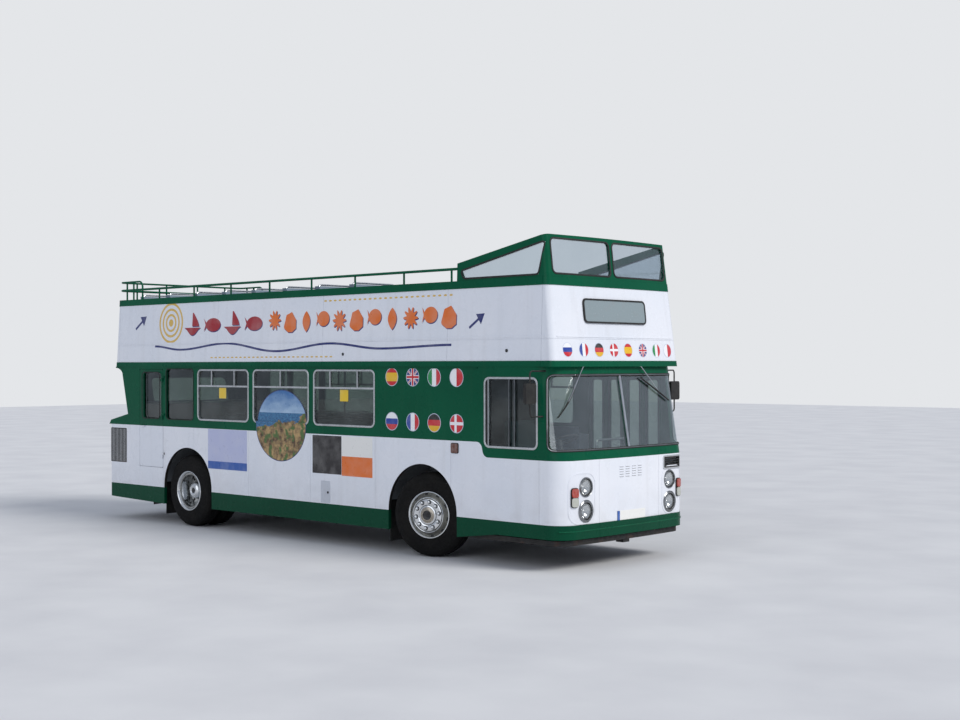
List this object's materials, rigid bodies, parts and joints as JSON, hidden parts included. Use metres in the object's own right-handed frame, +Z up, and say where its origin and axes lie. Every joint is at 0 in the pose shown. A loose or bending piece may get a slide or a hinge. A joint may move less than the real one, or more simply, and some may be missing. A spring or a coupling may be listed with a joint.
{
  "type": "open top double decker bus",
  "caption": "Open top double decker bus with a folding entrance door, an emergency door, a lifting engine cover, steered front wheels and turning wheels.",
  "frame": {"origin": "on the ground under the middle of the body", "axes": "+X forward, +Y to the bus's left, +Z up"},
  "size_m": [9.2998, 2.98, 3.8837],
  "materials": {
    "green_paint": "gloss green paint, weathered",
    "white_paint": "gloss white paint, weathered",
    "black_steel": "black chassis paint",
    "grey_steel": "grey paint",
    "bright_metal": "satin aluminium",
    "wheel_metal": "silver wheel paint with chrome nuts",
    "rail_steel": "brushed steel tube",
    "clear_glass": "clear tinted glass",
    "lamp_glass": "lamp lens",
    "rubber": "black rubber",
    "tyre_rubber": "worn road tyre",
    "floor_lino": "ribbed floor covering",
    "seat_cover": "blue moquette",
    "seat_shell": "blue grey moulded seat back",
    "display_black": "black glazed display",
    "cab_plastic": "dark moulded fascia",
    "cast_steel": "cast iron"
  },
  "bodies": {
    "root": {"chassis_rails": "black_steel", "cross_members": "black_steel", "front_axle": "cast_steel", "rear_axle": "cast_steel", "lower_floor": "floor_lino", "wheel_boxes": "grey_steel", "floor_risers": "grey_steel", "power_unit": "cast_steel", "tanks": "black_steel", "exhaust": "cast_steel", "skirt_panels": "green_paint", "lower_panels": "white_paint", "window_bands": "green_paint", "rear_wall": "green_paint", "windscreen_surround": "green_paint", "windscreen": "clear_glass", "window_frames": "bright_metal", "glazing": "clear_glass", "upper_floor": "floor_lino", "upper_deck_panels": "white_paint", "deck_capping": "green_paint", "screen_frame": "green_paint", "destination_box": "display_black", "guard_rails": "green_paint", "staircase": "grey_steel", "seat_cushions": "seat_cover", "seat_backs": "seat_shell", "cab_fittings": "cab_plastic", "lamps": "lamp_glass", "grilles": "black_steel", "mirrors": "rubber", "wipers": "black_steel", "mudflaps": "rubber", "grab_rails": "rail_steel"},
    "knuckle_right": {"knuckle_right": "cast_steel"},
    "front_wheel_right": {"tyre_front_right": "tyre_rubber", "wheel_front_right": "wheel_metal"},
    "rear_wheels_right": {"tyres_rear_right": "tyre_rubber", "wheels_rear_right": "wheel_metal"},
    "knuckle_left": {"knuckle_left": "cast_steel"},
    "front_wheel_left": {"tyre_front_left": "tyre_rubber", "wheel_front_left": "wheel_metal"},
    "rear_wheels_left": {"tyres_rear_left": "tyre_rubber", "wheels_rear_left": "wheel_metal"},
    "track_rod": {"track_rod": "cast_steel"},
    "steering_wheel": {"steering_wheel": "cab_plastic"},
    "leaf_1": {"door_leaf_1": "green_paint", "door_glass_1": "clear_glass"},
    "leaf_2": {"door_leaf_2": "green_paint", "door_glass_2": "clear_glass"},
    "leaf_3": {"door_leaf_3": "green_paint", "door_glass_3": "clear_glass"},
    "leaf_4": {"door_leaf_4": "green_paint", "door_glass_4": "clear_glass"},
    "emergency_door": {"emergency_door": "white_paint", "emergency_glass": "clear_glass"},
    "engine_cover": {"engine_cover": "white_paint"}
  },
  "joints": [
    {"name": "steering", "type": "hinge", "parent": "root", "child": "knuckle_right", "pos_m": [2.362, -0.9, 0.522], "axis": [0, 0, 1], "range_deg": [-53, 23]},
    {"name": "steering_left", "type": "hinge", "parent": "root", "child": "knuckle_left", "pos_m": [2.362, 0.9, 0.522], "axis": [0, 0, 1], "range_deg": [-53, 23]},
    {"name": "track_rod_swing", "type": "hinge", "parent": "knuckle_right", "child": "track_rod", "pos_m": [2.19779, -0.944, 0.334], "axis": [0, 0, 1], "range_deg": [-23, 53]},
    {"name": "steering_wheel_turn", "type": "hinge", "parent": "root", "child": "steering_wheel", "pos_m": [4.145, -0.73, 1.47], "axis": [-0.3489, 0, 0.9371], "range_deg": [-848, 368]},
    {"name": "front_wheel_right_spin", "type": "hinge", "parent": "knuckle_right", "child": "front_wheel_right", "pos_m": [2.40341, -1.05455, 0.522], "axis": [-0.2588, 0.9659, 0], "continuous": true},
    {"name": "rear_wheels_right_spin", "type": "hinge", "parent": "root", "child": "rear_wheels_right", "pos_m": [-2.568, -1.062, 0.522], "axis": [0, 1, 0], "continuous": true},
    {"name": "front_wheel_left_spin", "type": "hinge", "parent": "knuckle_left", "child": "front_wheel_left", "pos_m": [2.32059, 1.05455, 0.522], "axis": [-0.2588, 0.9659, 0], "continuous": true},
    {"name": "rear_wheels_left_spin", "type": "hinge", "parent": "root", "child": "rear_wheels_left", "pos_m": [-2.568, 1.062, 0.522], "axis": [0, 1, 0], "continuous": true},
    {"name": "entrance_door", "type": "hinge", "parent": "root", "child": "leaf_1", "pos_m": [3.066, 1.188, 1.3], "axis": [0, 0, -1], "range_deg": [0, 80]},
    {"name": "leaf_2_fold", "type": "hinge", "parent": "leaf_1", "child": "leaf_2", "pos_m": [3.351, 1.212, 1.3], "axis": [0, 0, -1], "range_deg": [-160, 0]},
    {"name": "leaf_4_swing", "type": "hinge", "parent": "root", "child": "leaf_4", "pos_m": [4.234, 1.188, 1.3], "axis": [0, 0, 1], "range_deg": [0, 80]},
    {"name": "leaf_3_fold", "type": "hinge", "parent": "leaf_4", "child": "leaf_3", "pos_m": [3.949, 1.212, 1.3], "axis": [0, 0, 1], "range_deg": [-160, 0]},
    {"name": "emergency_door_swing", "type": "hinge", "parent": "root", "child": "emergency_door", "pos_m": [-3.19, -1.234, 1.57], "axis": [0, 0, 1], "range_deg": [0, 95]},
    {"name": "engine_cover_lift", "type": "hinge", "parent": "root", "child": "engine_cover", "pos_m": [-4.643, 0, 1.43], "axis": [0, 1, 0], "range_deg": [0, 75]}
  ],
  "couplings": [
    {"joint": "steering_left", "follows": "steering", "ratio": 1},
    {"joint": "track_rod_swing", "follows": "steering", "ratio": -1},
    {"joint": "steering_wheel_turn", "follows": "steering", "ratio": 16},
    {"joint": "leaf_2_fold", "follows": "entrance_door", "ratio": -2},
    {"joint": "leaf_4_swing", "follows": "entrance_door", "ratio": 1},
    {"joint": "leaf_3_fold", "follows": "entrance_door", "ratio": -2}
  ]
}
